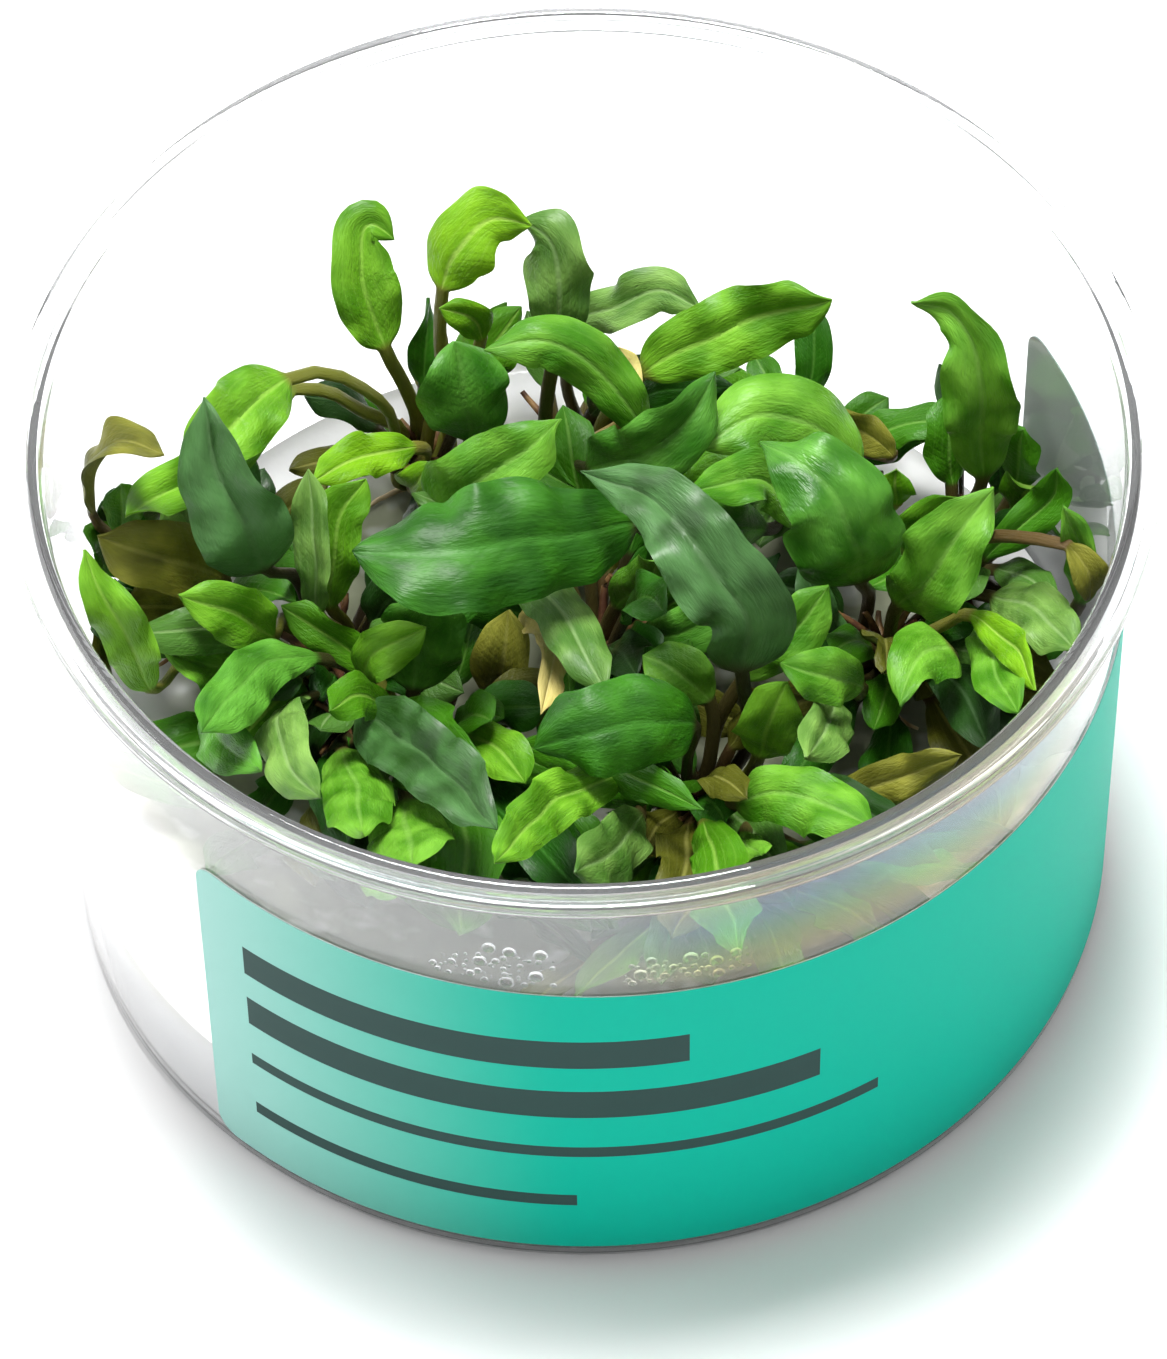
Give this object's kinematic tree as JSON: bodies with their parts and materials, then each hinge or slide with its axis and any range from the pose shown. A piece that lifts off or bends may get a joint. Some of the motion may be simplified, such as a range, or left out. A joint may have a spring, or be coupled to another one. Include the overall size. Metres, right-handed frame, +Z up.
{
  "type": "cryptocoryne wendtii tissue culture cup",
  "caption": "Low round clear cup with a flat rim and a wrapped label, holding a gel bed on which young broad-leaved aquarium plants with wavy leaves grow in a dense clump.",
  "frame": {"origin": "middle of the cup's flat underside", "axes": "+Z up along the cup's axis, -Y towards the front of the label, +X to the right seen from the front"},
  "size_m": [0.1, 0.1, 0.057],
  "materials": {
    "cup": "gloss",
    "label": "satin",
    "gel": "gloss",
    "crown": "matte",
    "leaf_deep": "satin",
    "leaf_dusk": "satin",
    "leaf_fresh": "satin",
    "leaf_gloss": "gloss",
    "leaf_grey": "matte",
    "leaf_lime": "satin",
    "leaf_mid": "satin",
    "leaf_olive": "matte"
  },
  "bodies": {
    "root": {"crown_back": "crown", "crown_back_left": "crown", "crown_back_right": "crown", "crown_centre": "crown", "crown_far_left": "crown", "crown_front_left": "crown", "crown_front_right": "crown", "crown_left": "crown", "crown_left_front": "crown", "crown_right": "crown", "crown_right_rear": "crown", "cup": "cup", "gel": "gel", "label": "label", "leaf_back_1": "leaf_grey", "leaf_back_2": "leaf_grey", "leaf_back_3": "leaf_mid", "leaf_back_4": "leaf_deep", "leaf_back_5": "leaf_fresh", "leaf_back_left_1": "leaf_fresh", "leaf_back_left_2": "leaf_lime", "leaf_back_left_3": "leaf_deep", "leaf_back_left_4": "leaf_mid", "leaf_back_left_5": "leaf_fresh", "leaf_back_left_6": "leaf_fresh", "leaf_back_right_1": "leaf_mid", "leaf_back_right_2": "leaf_mid", "leaf_back_right_3": "leaf_deep", "leaf_centre_1": "leaf_gloss", "leaf_centre_2": "leaf_grey", "leaf_far_left_1": "leaf_olive", "leaf_far_left_2": "leaf_fresh", "leaf_far_left_3": "leaf_olive", "leaf_far_left_4": "leaf_deep", "leaf_front_left_1": "leaf_deep", "leaf_front_left_2": "leaf_mid", "leaf_front_right_1": "leaf_dusk", "leaf_front_right_2": "leaf_gloss", "leaf_front_right_3": "leaf_fresh", "leaf_front_right_4": "leaf_mid", "leaf_front_right_5": "leaf_fresh", "leaf_front_right_6": "leaf_grey", "leaf_front_right_7": "leaf_mid", "leaf_left_1": "leaf_dusk", "leaf_left_2": "leaf_fresh", "leaf_left_3": "leaf_deep", "leaf_left_4": "leaf_grey", "leaf_left_5": "leaf_fresh", "leaf_left_6": "leaf_grey", "leaf_left_front_1": "leaf_fresh", "leaf_left_front_2": "leaf_dusk", "leaf_left_front_3": "leaf_mid", "leaf_right_1": "leaf_deep", "leaf_right_2": "leaf_mid", "leaf_right_3": "leaf_mid", "leaf_right_4": "leaf_mid", "leaf_right_5": "leaf_mid", "leaf_right_6": "leaf_grey", "leaf_right_rear_1": "leaf_mid", "leaf_right_rear_2": "leaf_grey"}
  },
  "joints": []
}
